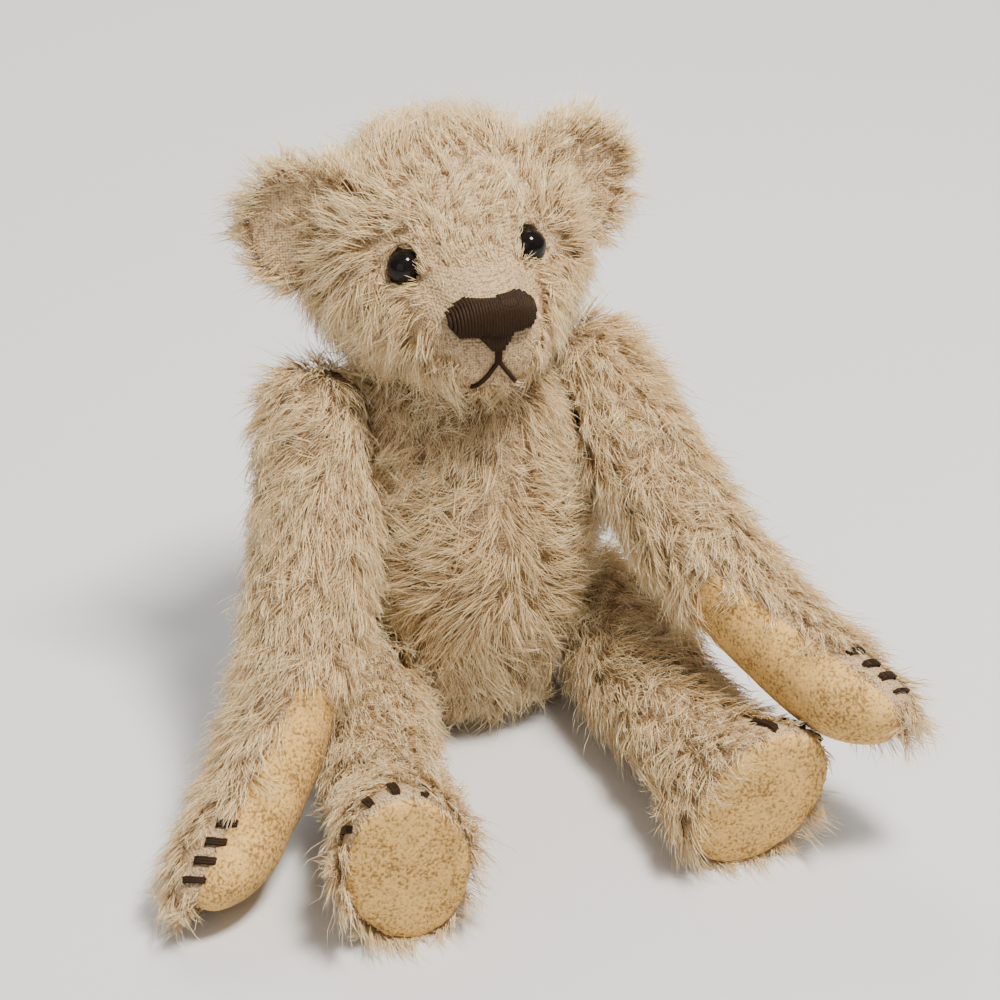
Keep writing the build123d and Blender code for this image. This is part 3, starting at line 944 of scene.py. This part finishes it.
@dataclass
class Pelt:
    """The pile of one skin: pointed locks of strands."""

    name: str
    skin: Skin
    comb: Comb
    locks: int
    length: float = 8.5 * MM
    strands: int = 8
    lift: float = 0.36  # tip height over length
    bare: tuple = ()  # numbers of the panels with no pile
    spread: float = 1.15 * MM  # radius of a lock's roots
    radius: float = 0.062 * MM
    limit: int = 15500  # strands in one piece

    def build(self, others: list[Skin], tones: list[bpy.types.Material], seed: int) -> None:
        """Makes the pieces of pile.

        Args:
            others: skins that it must stay out of.
            tones: the hair materials.
            seed: for the random choices.
        """
        rng = np.random.default_rng(seed)
        points, normals, nearest = self.skin.surface.sample(self.locks, rng)
        density, length, lift, flow = self.field(points, normals)
        edge = self.skin.surface.edge[nearest]
        bare = np.isin(self.skin.surface.panel[nearest], self.bare)
        keep = (rng.random(self.locks) < density) & ~bare
        points, normals, length, lift, flow = (a[keep] for a in (points, normals, length, lift, flow))
        beside_seam = np.where(edge[keep] < SEAM_EDGE, SEAM_LENGTH, 1.0)
        length = length * rng.uniform(*LOCK_LENGTHS, len(points)) * beside_seam
        flow = self.turned(flow, normals, rng.normal(0, LOCK_TURN, len(points)))
        lift = np.clip(lift * rng.uniform(*LOCK_LIFTS, len(points)), 0.05, 0.9)
        ways = flow * np.sqrt(1 - lift[:, None] ** 2) + normals * lift[:, None]
        tips = points + ways * length[:, None]
        tips[:, 2] = np.maximum(tips[:, 2], 0.5 * MM)
        tips, length, keep = self.clear(points, normals, flow, tips, length, others)
        self.grow(points[keep], normals[keep], flow[keep], tips[keep], length[keep], tones, rng)

    def swirl(self, points: np.ndarray, scale: float) -> np.ndarray:
        """A smooth random angle over the skin.

        Args:
            points: where it is read.
            scale: the size of one swirl, in metres.

        Returns:
            Angles from about -1 to 1.
        """
        total = np.zeros(len(points))
        for way in ((1.0, 0.4, 0.7), (-0.6, 0.9, 0.3), (0.2, -0.8, 1.1), (0.9, 0.7, -0.8)):
            phase = points @ (np.array(way) * 2 * math.pi / scale)
            total += np.sin(phase + 7.3 * way[0] + 2.1 * way[1])
        return total / 2.4

    def turned(self, flow: np.ndarray, normals: np.ndarray, angle: np.ndarray) -> np.ndarray:
        """The flow turned about the normals.

        Args:
            flow: unit directions along the skin.
            normals: unit normals.
            angle: in radians, one each.

        Returns:
            The turned directions.
        """
        side = np.cross(normals, flow)
        return flow * np.cos(angle)[:, None] + side * np.sin(angle)[:, None]

    def along_skin(self, ways: np.ndarray, normals: np.ndarray) -> np.ndarray:
        """Directions with their part along the normal taken out."""
        return unit(ways - normals * (ways * normals).sum(1, keepdims=True))

    def field(self, p: np.ndarray, n: np.ndarray) -> tuple[np.ndarray, ...]:
        """How thick, long, raised and combed the pile is at each place.

        Args:
            p: places.
            n: unit normals.

        Returns:
            Density from 0 to 1, length in metres, lift from 0 to 1, and unit directions.
        """
        count = len(p)
        density = np.full(count, 1.0)
        length = np.full(count, self.length)
        lift = np.full(count, self.lift)
        if self.comb is Comb.LIMB:
            ways = np.tile(self.limb_way(), (count, 1))
            flow = self.along_skin(ways, n)
            flow = self.turned(flow, n, 0.55 * self.swirl(p, 26 * MM))
            self.part_over((f"{self.skin.body}_claws",), p, density, length)
        elif self.comb is Comb.TORSO:
            side = np.tanh((p[:, 0] - FRONT_SEAM_X) / (5 * MM))
            low = np.clip((BELLY_TOP - p[:, 2] / MM) / BELLY_DROP, 0, 1)
            ways = np.column_stack([(0.85 - 0.4 * low) * side, np.full(count, 0.05), -0.45 - 0.4 * low])
            flow = self.along_skin(ways, n)
            flow = self.turned(flow, n, 0.75 * self.swirl(p, 34 * MM))
            density *= np.where(np.abs(self.seam_gap(p)) < 0.8 * MM, 0.85, 1.0)
        elif self.comb is Comb.HEAD:
            density, length, lift, flow = self.head_field(p, n)
        else:
            density, length, lift, flow = self.ear_field(p, n)
        for point, inward in self.skin.joint_points():
            away = p - np.array(point)
            depth = away @ np.array(inward)
            radial = np.linalg.norm(away - depth[:, None] * np.array(inward), axis=1)
            near = (depth < JOINT_DEPTH) & (radial < JOINT_REACH)
            length = np.where(near, length * np.clip(0.3 + 0.7 * depth / JOINT_DEPTH, 0.3, 1.0), length)
            density = np.where((depth < JOINT_BARE_DEPTH) & (radial < JOINT_BARE), 0.0, density)
            lift = np.where(near, lift * 0.6, lift)
        return density, length, lift, flow

    def limb_way(self) -> np.ndarray:
        """The unit direction from a limb's joint to its end."""
        point, _ = self.skin.joint_points()[0]
        return np.array((body_centre([self.skin.panels[-1]]) - point).normalized())

    def seam_gap(self, p: np.ndarray) -> np.ndarray:
        """Distance from the torso's front seam, for places on its front."""
        turn = FRONT_SEAM_TURN
        gap = p[:, 0] * math.cos(turn) + p[:, 1] * math.sin(turn)
        return np.where(p[:, 1] < 0, gap, 1.0)

    def head_field(self, p: np.ndarray, n: np.ndarray) -> tuple[np.ndarray, ...]:
        """As field, for the head.

        Args:
            p: places.
            n: unit normals.

        Returns:
            Density, length, lift and directions.
        """
        nose = np.array(body_centre(["nose_stitching"]))
        eyes = [np.array(body_centre([f"eye_{side}"])) for side in SIDES]
        away = p - nose
        gap = np.linalg.norm(away, axis=1) / MM
        ways = unit(away)
        outward = np.clip((np.abs(p[:, 0]) / MM - CHEEK_IN) / 6, 0, 1)
        cheek = outward * np.clip((CHEEK_TOP - p[:, 2] / MM) / 6, 0, 1)
        ways *= (1 - 0.55 * cheek)[:, None]
        ways[:, 2] -= 1.0 * cheek + 0.3 * (p[:, 1] > 5 * MM)
        flow = self.along_skin(ways, n)
        high = np.clip((p[:, 2] / MM - BROW_BOTTOM) / 6, 0, 1)
        front = np.clip((BROW_BACK - p[:, 1] / MM) / 8, 0, 1)
        middle = np.clip((BROW_SIDE - np.abs(p[:, 0]) / MM) / 6, 0, 1)
        brow = high * front * middle
        muzzle = np.clip((MUZZLE_REACH - gap) / MUZZLE_FADE, 0, 1)
        length = self.length * (1 - 0.42 * brow) * (1 - 0.68 * muzzle)
        density = (1 - 0.55 * brow) * (1 - 0.35 * muzzle)
        lift = self.lift * (1 - 0.25 * muzzle) + 0.1 * brow
        flow = self.turned(flow, n, (0.5 + 0.6 * brow) * self.swirl(p, 20 * MM))
        for eye in eyes:
            near = np.linalg.norm(p - eye, axis=1) / MM
            length = length * np.clip((near - 2.2) / 4.5, 0.25, 1.0)
            density = np.where(near < EYE_BARE, 0.0, density)
        self.part_over(("nose_stitching", "mouth_stitching"), p, density, length)
        return density, length, lift, flow

    def part_over(
        self, nodes: tuple[str, ...], p: np.ndarray, density: np.ndarray, length: np.ndarray
    ) -> None:
        """Keeps the pile off embroidery, and short beside it.

        Args:
            nodes: the embroidered CAD nodes.
            p: places.
            density: changed in place.
            length: changed in place.
        """
        covered = [node_tree(node) for node in nodes]
        for place, point in enumerate(p):
            gap = min(tree.find_nearest(Vector(point))[3] for tree in covered)
            if gap < PART_BARE:
                density[place] = 0.0
            elif gap < PART_SHORT:
                length[place] *= 0.5

    def ear_field(self, p: np.ndarray, n: np.ndarray) -> tuple[np.ndarray, ...]:
        """As field, for an ear.

        Args:
            p: places.
            n: unit normals.

        Returns:
            Density, length, lift and directions.
        """
        middle = np.array(body_centre(self.skin.panels))
        facing = np.array(self.skin.facing())
        head = np.array(body_centre(["head_stuffing"]))
        root = middle + 0.45 * (head - middle)
        away = p - root
        ways = unit(away - (away @ facing)[:, None] * facing)
        flow = self.along_skin(ways, n)
        flow = self.turned(flow, n, 0.5 * self.swirl(p, 12 * MM))
        from_middle = p - middle
        radial = np.linalg.norm(from_middle - (from_middle @ facing)[:, None] * facing, axis=1) / MM
        front = (n @ facing > 0.5).astype(float)
        rim = np.clip((radial - EAR_RIM) / EAR_RIM_WIDTH, 0, 1)
        length = self.length * (1 - front * (1 - rim) * 0.4)
        density = 1 - front * (1 - rim) * 0.86
        lift = np.full(len(p), self.lift) + 0.15 * rim
        return density, length, lift, flow

    def clear(
        self,
        points: np.ndarray,
        normals: np.ndarray,
        flow: np.ndarray,
        tips: np.ndarray,
        length: np.ndarray,
        others: list[Skin],
    ) -> tuple[np.ndarray, np.ndarray, np.ndarray]:
        """Shortens the locks that would run into another skin, and drops those that still do.

        Args:
            points: roots.
            normals: unit normals at the roots.
            flow: unit directions along the skin.
            tips: lock tips.
            length: lock lengths.
            others: skins to stay out of.

        Returns:
            The tips, the lengths, and which locks to keep.
        """
        keep = np.ones(len(points), bool)
        for place in range(len(points)):
            for part in (0.55, 0.35, 0.0):
                probe = (points[place] + 2 * tips[place]) / 3
                surfaces = [skin.surface for skin in others]
                if not any(s.holds(tips[place], TIP_CLEARANCE) or s.holds(probe) for s in surfaces):
                    break
                if part == 0.0:
                    keep[place] = False
                    break
                length[place] = self.length * part
                tips[place] = points[place] + (flow[place] + 0.12 * normals[place]) * length[place]
        return tips, length, keep

    def grow(
        self,
        points: np.ndarray,
        normals: np.ndarray,
        flow: np.ndarray,
        tips: np.ndarray,
        length: np.ndarray,
        tones: list[bpy.types.Material],
        rng: np.random.Generator,
    ) -> None:
        """Turns locks into strands, and strands into pieces.

        Args:
            points: roots of the locks.
            normals: unit normals.
            flow: unit directions.
            tips: lock tips.
            length: lock lengths.
            tones: the hair materials.
            rng: the seeded generator.
        """
        count = len(points) * self.strands
        pick = np.repeat(np.arange(len(points)), self.strands)
        side = np.cross(normals, flow)
        angle = rng.uniform(0, 2 * math.pi, count)
        reach = self.spread * np.sqrt(rng.random(count))
        offset = flow[pick] * (reach * np.cos(angle))[:, None]
        offset = offset + side[pick] * (reach * np.sin(angle))[:, None]
        roots = points[pick] + offset - normals[pick] * ROOT_SINK * MM
        loose = np.where(rng.random(count) < LOOSE_SHARE, LOOSE, NEAT)
        gather = rng.uniform(*GATHER, len(points))[pick] * (1 - loose) * 1.7
        stray = rng.normal(0, 1, (count, 3)) * (loose * STRAY)[:, None] * length[pick][:, None]
        share = rng.uniform(*STRAND_LENGTHS, count)[:, None]
        ends = roots + (tips[pick] - points[pick]) * share - offset * gather[:, None] * 0.9 + stray
        bow = rng.normal(0, LOCK_BOW, len(points))[pick] + rng.normal(0, STRAND_BOW, count)
        rise = normals[pick] * (BEND_HEIGHT * length[pick])[:, None]
        middle = roots + (ends - roots) * BEND_AT
        middle += rise + side[pick] * (bow * length[pick])[:, None]
        middle[:, 2] = np.maximum(middle[:, 2], 0.15 * MM)
        ends[:, 2] = np.maximum(ends[:, 2], 0.1 * MM)
        chance = np.cumsum([share for share, _ in TONE_SETS])
        mixed = 0.55 * rng.random(len(points))[pick] + 0.45 * rng.random(count)
        mixed = np.argsort(np.argsort(mixed)) / count
        tone = np.minimum(np.searchsorted(chance, mixed), len(TONE_SETS) - 1)
        thick = self.radius * rng.uniform(*STRAND_WIDTHS, count)
        for number, first in enumerate(range(0, count, self.limit)):
            some = slice(first, first + self.limit)
            strands = (rows[some] for rows in (roots, middle, ends, thick, tone))
            self.piece(f"{self.name}_{number + 1}", *strands, tones)

    def piece(
        self,
        name: str,
        roots: np.ndarray,
        middle: np.ndarray,
        ends: np.ndarray,
        thick: np.ndarray,
        tone: np.ndarray,
        tones: list[bpy.types.Material],
    ) -> None:
        """One piece of pile, from copies of the strand.

        Args:
            name: the piece's name.
            roots: strand roots.
            middle: where each strand bends.
            ends: strand tips.
            thick: strand radii.
            tone: each strand's tone set.
            tones: the hair materials.
        """
        shape, tris, part = strand_template()
        count = len(roots)
        along = unit(ends - roots)
        across = unit(np.cross(along, [0.31, 0.52, 0.79]))
        other = np.cross(along, across)
        t = shape[:, 2][None, :, None]
        line = (1 - t) ** 2 * roots[:, None] + 2 * t * (1 - t) * middle[:, None] + t**2 * ends[:, None]
        wide = thick[:, None, None]
        line = line + wide * (shape[None, :, :1] * across[:, None] + shape[None, :, 1:2] * other[:, None])
        faces = tris[None] + (np.arange(count) * len(shape))[:, None, None]
        # Root faces take the darker root tones: painted shade deep in the pile
        table = np.array([slots for _, slots in TONE_SETS])
        slots = table[tone][:, part]
        mesh = bpy.data.meshes.new(name)
        mesh.vertices.add(count * len(shape))
        mesh.vertices.foreach_set("co", line.astype(np.float32).ravel())
        mesh.loops.add(faces.size)
        mesh.loops.foreach_set("vertex_index", faces.astype(np.int32).ravel())
        mesh.polygons.add(count * len(tris))
        mesh.polygons.foreach_set("loop_start", np.arange(0, faces.size, 3, dtype=np.int32))
        for material in tones:
            mesh.materials.append(material)
        mesh.polygons.foreach_set("material_index", slots.astype(np.int32).ravel())
        mesh.update(calc_edges=True)
        mesh.validate()
        new_piece(name, mesh, self.skin.body)


# Face and claws


@dataclass
class Eye:
    """A glass bead, domed in front and flatter behind."""

    side: str
    segments: int = 48
    back: float = 0.72  # depth of the back over the front's

    def build(self, material: bpy.types.Material) -> None:
        """Makes the bead.

        Args:
            material: polished glass.
        """
        node = f"eye_{self.side}"
        low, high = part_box(node)
        radius = (high.x - low.x) / 2
        middle = (low + high) / 2
        bm = bmesh.new()
        rings = self.segments // 2
        bmesh.ops.create_uvsphere(bm, u_segments=self.segments, v_segments=rings, radius=radius)
        bmesh.ops.rotate(bm, verts=bm.verts, matrix=Matrix.Rotation(math.pi / 2, 3, "X"))
        for vertex in bm.verts:
            if vertex.co.y > 0:
                vertex.co.y *= self.back
        bmesh.ops.translate(bm, verts=bm.verts, vec=middle)
        mesh = bpy.data.meshes.new(f"glass_{node}")
        bm.to_mesh(mesh)
        bm.free()
        mesh.materials.append(material)
        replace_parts(new_piece(f"glass_{node}", mesh, "head"), node)


@dataclass
class Nose:
    """The nose: upright satin stitches side by side, padded into a rounded bar with a pointed stem."""

    spacing: float = 0.5 * MM
    radius: float = 0.34 * MM
    step: float = 0.3 * MM
    half_width: float = 7.7 * MM
    bar_height: float = 5.9 * MM
    bar: float = 6.4 * MM  # length of a stitch over the bar
    padding: float = 1.1 * MM
    depths: tuple[float, ...] = (0.0, 0.6 * MM, 1.2 * MM)  # the layers of thread, front to back

    def build(self, material: bpy.types.Material) -> None:
        """Makes the threads.

        Args:
            material: the dark floss.
        """
        low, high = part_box("nose_stitching")
        tree = node_tree("nose_stitching")
        middle = (low.x + high.x) / 2
        paths = []
        across = low.x + self.spacing / 2
        while across < high.x:
            offset = (across - middle) / self.half_width
            hits = self.upward(tree, across, low, high)
            path = self.stitch(hits, offset, high.z - self.bar_height)
            if len(path) > 3:
                paths += [[point + Vector((0, depth, 0)) for point in path] for depth in self.depths]
            across += self.spacing
        mesh = threads("nose_threads", paths, self.radius)
        mesh.materials.append(material)
        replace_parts(new_piece("nose_threads", mesh, "head"), "nose_stitching")

    def upward(self, tree: BVHTree, across: float, low: Vector, high: Vector) -> list[Vector]:
        """The nose's front surface from bottom to top at one place across.

        Args:
            tree: the nose's CAD surface.
            across: where, in metres.
            low: lowest corner of its box.
            high: highest corner.

        Returns:
            The points found.
        """
        hits = []
        height = low.z
        while height < high.z:
            at = tree.ray_cast(Vector((across, low.y - 0.02, height)), Vector((0, 1, 0)))[0]
            if at is not None:
                hits.append(at)
            height += self.step
        return hits

    def stitch(self, hits: list[Vector], offset: float, base: float) -> list[Vector]:
        """One stitch, padded out where it crosses the bar.

        Args:
            hits: the surface points, upward.
            offset: from -1 to 1 across the bar.
            base: height of the bar's lower edge.

        Returns:
            The thread's path.
        """
        cap = self.bar * math.sqrt(max(0.0, 1 - abs(offset) ** 4)) + 0.6 * MM
        path = []
        walked = 0.0
        for place, hit in enumerate(hits):
            if hit.z > base and place:
                walked += (hit - hits[place - 1]).length
            if walked > cap:
                break
            swell = math.sqrt(max(0.0, 1 - (2 * walked / cap - 1) ** 2)) if walked else 0.0
            out = self.padding * swell * math.sqrt(max(0.0, 1 - offset**2))
            path.append(hit + Vector((0, -out - 0.15 * MM, 0.5 * out)))
        if len(path) > 3:
            path.insert(0, path[0] + Vector((0, 0.9 * MM, -0.1 * MM)))
            path.append(path[-1] + Vector((0, 0.9 * MM, -0.4 * MM)))
        return path


@dataclass
class Mouth:
    """The mouth: two threads that leave the nose and part."""

    skin: Skin
    radius: float = 0.42 * MM
    legs: float = 4.4 * MM  # height of the parted threads

    def build(self, material: bpy.types.Material) -> None:
        """Makes the threads.

        Args:
            material: the dark floss.
        """
        low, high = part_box("mouth_stitching")
        middle = (low.x + high.x) / 2
        fork = low.z + self.legs
        paths = []
        for way in (-1, 1):
            end = low.x if way < 0 else high.x
            top = (middle + way * 0.25 * MM, high.z + 0.8 * MM)
            corner = (middle + way * 0.3 * MM, fork)
            foot = (middle + (end - middle) * 0.8, low.z - 0.7 * MM)
            line = [self.mixed(top, corner, i / 4) for i in range(4)]
            line += [self.mixed(corner, foot, i / 7) for i in range(8)]
            paths.append([self.on_skin(x, z, 0.35 * MM) for x, z in line])
            paths[-1].append(self.on_skin(*foot, -0.8 * MM))
        mesh = threads("mouth_threads", paths, self.radius)
        mesh.materials.append(material)
        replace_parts(new_piece("mouth_threads", mesh, "head"), "mouth_stitching")

    def mixed(self, first: tuple, last: tuple, share: float) -> tuple[float, float]:
        """A point between two others."""
        return tuple(a + (b - a) * share for a, b in zip(first, last))

    def on_skin(self, x: float, z: float, out: float) -> Vector:
        """The point of the skin in front of a place.

        Args:
            x: across.
            z: height.
            out: how far it stands off the skin.

        Returns:
            The point.
        """
        at, normal, _, _ = self.skin.surface.tree.ray_cast(Vector((x, -0.2, z)), Vector((0, 1, 0)))
        return at + normal * out


@dataclass
class Strokes:
    """Embroidered strokes, each a few threads over one raised CAD solid."""

    name: str
    node: str
    skin: Skin
    slot: str
    count: int = 3
    radius: float = 0.31 * MM

    def build(self, material: bpy.types.Material) -> None:
        """Makes the threads.

        Args:
            material: the floss.
        """
        bm = bmesh.new()
        bm.from_mesh(frame["nodes"][self.node].data)
        bmesh.ops.remove_doubles(bm, verts=bm.verts, dist=1e-6)
        paths = []
        for shell in islands(bm):
            paths += self.stroke(np.array([v.co[:] for v in shell]))
        bm.free()
        mesh = threads(self.name, paths, self.radius)
        mesh.materials.append(material)
        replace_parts(new_piece(self.name, mesh, self.skin.body), self.node)

    def stroke(self, points: np.ndarray) -> list[list[Vector]]:
        """The threads of one stroke.

        Args:
            points: the corners of its solid.

        Returns:
            A path for each thread.
        """
        middle = points.mean(0)
        _, _, ways = np.linalg.svd(points - middle)
        spans = [(points - middle) @ way for way in ways]
        side = Vector(ways[1])
        paths = []
        for number in range(self.count):
            shift = (number - (self.count - 1) / 2) * 1.5 * self.radius
            path = []
            for share in np.linspace(0.04, 0.96, 7):
                along = spans[0].min() + share * np.ptp(spans[0])
                probe = Vector(middle + ways[0] * along) + side * shift
                at, normal, _, _ = self.skin.surface.tree.find_nearest(probe)
                sunk = -0.5 * MM if share < 0.1 or share > 0.9 else self.radius * 1.9
                path.append(at + normal * sunk)
            paths.append(path)
        return paths


# The bear and the studio

SUEDE_PANEL = 2  # the suede's place in a limb's list of panels


class Bear:
    """Builds every piece of the bear over the frame."""

    def __init__(self) -> None:
        """Makes the finishes and lists the skins."""
        self.backing = Backing().build()
        self.suede = Suede().build()
        # Each floss's second colour is its painted highlight on the twist's ridges
        self.dark = Floss("dark_floss", (0.012, 0.006, 0.003), (0.045, 0.022, 0.010)).build()
        self.pale = Floss("pale_thread", (0.42, 0.29, 0.17), (0.68, 0.54, 0.38)).build()
        self.glass = Gloss().build()
        self.board = Hard("hardboard", (0.36, 0.24, 0.14), 0.0, 0.8).build()
        self.steel = Hard("steel", (0.55, 0.55, 0.56), 1.0, 0.35).build()
        self.tones = [tone.build() for tone in HAIR_TONES]
        self.skins: dict[str, Skin] = {}

    def build_skins(self) -> None:
        """Makes the six body skins and the two ears."""
        joints = {joint["child"]: joint["name"] for joint in frame["joints"]}
        eyes = tuple((body_centre([f"eye_{side}"]), 4.6 * MM, 0.5 * MM) for side in SIDES)
        ear = {"voxel": 0.6 * MM, "seam_depth": 0.1 * MM, "lump": 0.2 * MM, "cup": 1.4 * MM}
        halves = [f"torso_panel_{side}" for side in SIDES]
        self.skins["torso"] = Skin("torso_skin", "torso", halves, ["torso_stuffing"], list(joints.values()))
        self.skins["head"] = Skin(
            "head_skin",
            "head",
            ["head_side_left", "head_side_right", "head_gusset"],
            ["head_stuffing"],
            [joints["head"]],
            dents=eyes,
        )
        for side in SIDES:
            for limb, pad in (("arm", "paw_pad"), ("leg", "foot_pad")):
                body = f"{side}_{limb}"
                panels = [f"{body}_{panel}" for panel in ("outer_panel", "inner_panel", pad)]
                self.skins[body] = Skin(f"{body}_skin", body, panels, [f"{body}_stuffing"], [joints[body]])
            panels = [f"ear_{side}_front", f"ear_{side}_back"]
            self.skins[f"ear_{side}"] = Skin(f"ear_{side}_skin", "head", panels, [], [], **ear)
        for skin in self.skins.values():
            skin.build(self.backing)

    def build_pads(self) -> None:
        """Makes the suede paws and soles."""
        for side in SIDES:
            for limb, end, pad in (("arm", "paw", "paw_pad"), ("leg", "sole", "foot_pad")):
                body = f"{side}_{limb}"
                suede = Pad(f"{side}_{end}_suede", self.skins[body], f"{body}_{pad}")
                suede.build(self.suede, self.pale)

    def build_pelts(self) -> None:
        """Makes the pile of every skin."""
        pelts = [
            Pelt("torso_pile", self.skins["torso"], Comb.TORSO, 4700, length=9.2 * MM),
            Pelt("head_pile", self.skins["head"], Comb.HEAD, 4400, length=8.8 * MM),
        ]
        for side in SIDES:
            for limb, locks in (("arm", 2900), ("leg", 2500)):
                skin = self.skins[f"{side}_{limb}"]
                name = f"{side}_{limb}_pile"
                pelts.append(Pelt(name, skin, Comb.LIMB, locks, length=8.4 * MM, bare=(SUEDE_PANEL,)))
            ear = self.skins[f"ear_{side}"]
            pelts.append(Pelt(f"{side}_ear_pile", ear, Comb.EAR, 640, length=6.8 * MM, lift=0.3))
        for number, pelt in enumerate(pelts):
            near = [s for s in self.skins.values() if s is not pelt.skin and s.body != pelt.skin.body]
            pelt.build(near, self.tones, SEED + number)

    def build_details(self) -> None:
        """Makes the face, the claws and the back stitches, and dresses the hardware."""
        for side in SIDES:
            Eye(side).build(self.glass)
            for limb in ("arm", "leg"):
                body = f"{side}_{limb}"
                claws = Strokes(f"{body}_claw_threads", f"{body}_claws", self.skins[body], "dark_thread")
                claws.build(self.dark)
        Nose().build(self.dark)
        Mouth(self.skins["head"]).build(self.dark)
        ladder = Strokes(
            "torso_closing_threads",
            "torso_closing_stitches",
            self.skins["torso"],
            "pale_thread",
            count=1,
            radius=0.25 * MM,
        )
        ladder.build(self.pale)
        for name, node in frame["nodes"].items():
            finish = self.board if "_disc" in name else self.steel
            if "_disc" in name or "washer" in name or "cotter" in name or "wire" in name:
                node.data.materials.clear()
                node.data.materials.append(finish)


@dataclass(frozen=True)
class Studio:
    """A pale floor, soft lights and the camera."""

    target: Vector = Vector((8.3 * MM, 0.0, 38.4 * MM))
    distance: float = 0.52
    azimuth: float = math.radians(-20)
    height: float = math.radians(29)
    view: float = math.radians(20.71)

    def build(self) -> None:
        """Sets up everything around the bear."""
        bm = bmesh.new()
        bmesh.ops.create_grid(bm, x_segments=1, y_segments=1, size=3.0)
        mesh = bpy.data.meshes.new("floor")
        bm.to_mesh(mesh)
        bm.free()
        mesh.materials.append(Floor().build())
        floor = scratch_object("floor", mesh)
        self.light("key", (0.2, -0.3, 0.95), 0.22, 21.0, (1.0, 0.94, 0.85))
        self.light("fill", (-0.8, -0.7, 0.5), 0.8, 2.0, (1.0, 0.96, 0.90))
        self.light("back", (0.1, 0.8, 0.75), 0.6, 7.0, (1.0, 0.98, 0.95))
        world = bpy.data.worlds.new("studio")
        world.use_nodes = True
        world.node_tree.nodes["Background"].inputs["Color"].default_value = (0.90, 0.89, 0.88, 1.0)
        world.node_tree.nodes["Background"].inputs["Strength"].default_value = 0.4
        bpy.context.scene.world = world
        self.camera()

    def light(self, name: str, place: tuple, size: float, power: float, colour: Colour) -> None:
        """Adds a soft square light that looks at the bear.

        Args:
            name: the light's name.
            place: where it is, in metres.
            size: its side, in metres.
            power: in watts.
            colour: its colour.
        """
        data = bpy.data.lights.new(name, "AREA")
        data.size = size
        data.energy = power
        data.color = colour
        light = scratch_object(name, data)
        light.location = place
        light.rotation_euler = (self.target - Vector(place)).to_track_quat("-Z", "Y").to_euler()

    def camera(self) -> None:
        """Adds the camera and makes it the scene's."""
        level = math.cos(self.height)
        across = math.sin(self.azimuth) * level
        back = Vector((across, -math.cos(self.azimuth) * level, math.sin(self.height)))
        data = bpy.data.cameras.new("camera")
        data.angle = self.view
        data.clip_start = 0.01
        camera = scratch_object("camera", data)
        camera.location = self.target + back * self.distance
        camera.rotation_euler = (-back).to_track_quat("-Z", "Y").to_euler()
        bpy.context.scene.camera = camera


def main() -> None:
    """Builds the bear, then the studio."""
    bear = Bear()
    bear.build_skins()
    bear.build_pads()
    bear.build_details()
    bear.build_pelts()
    Studio().build()


if __name__ == "__main__":
    main()
